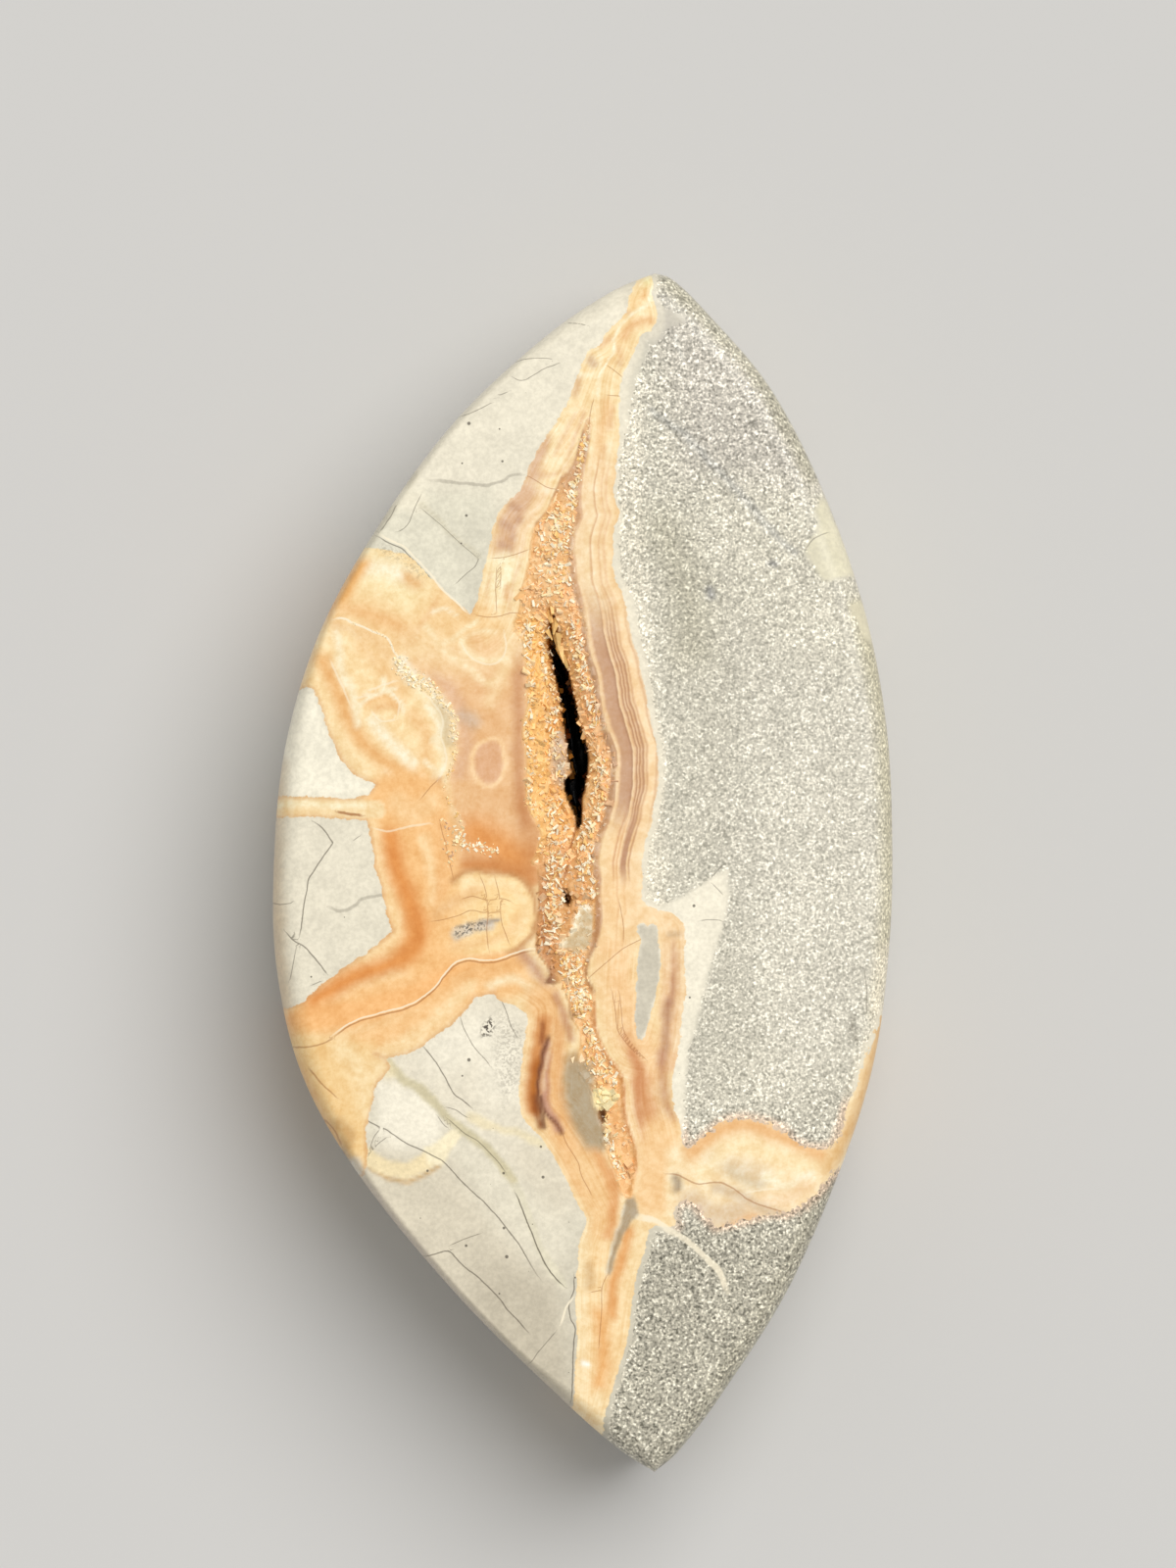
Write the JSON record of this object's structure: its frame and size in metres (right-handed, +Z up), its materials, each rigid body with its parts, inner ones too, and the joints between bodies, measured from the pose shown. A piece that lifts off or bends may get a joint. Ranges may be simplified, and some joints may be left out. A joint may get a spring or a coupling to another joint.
{
  "type": "septarian nodule",
  "caption": "Leaf-shaped polished slab of septarian nodule: grey pyritic mudstone cut by banded peach calcite veins around an open crystal-lined crack.",
  "frame": {"origin": "middle of the sawn back, under the middle of the slab's bounding box", "axes": "+Z up out of the polished face, +Y along the slab to its top point, +X across it to the pyritic side"},
  "size_m": [0.0634, 0.1226, 0.022],
  "materials": {
    "stone": "polished face and rim with a sawn, unpolished back"
  },
  "bodies": {
    "root": {"septarian_nodule": "stone"}
  },
  "joints": []
}
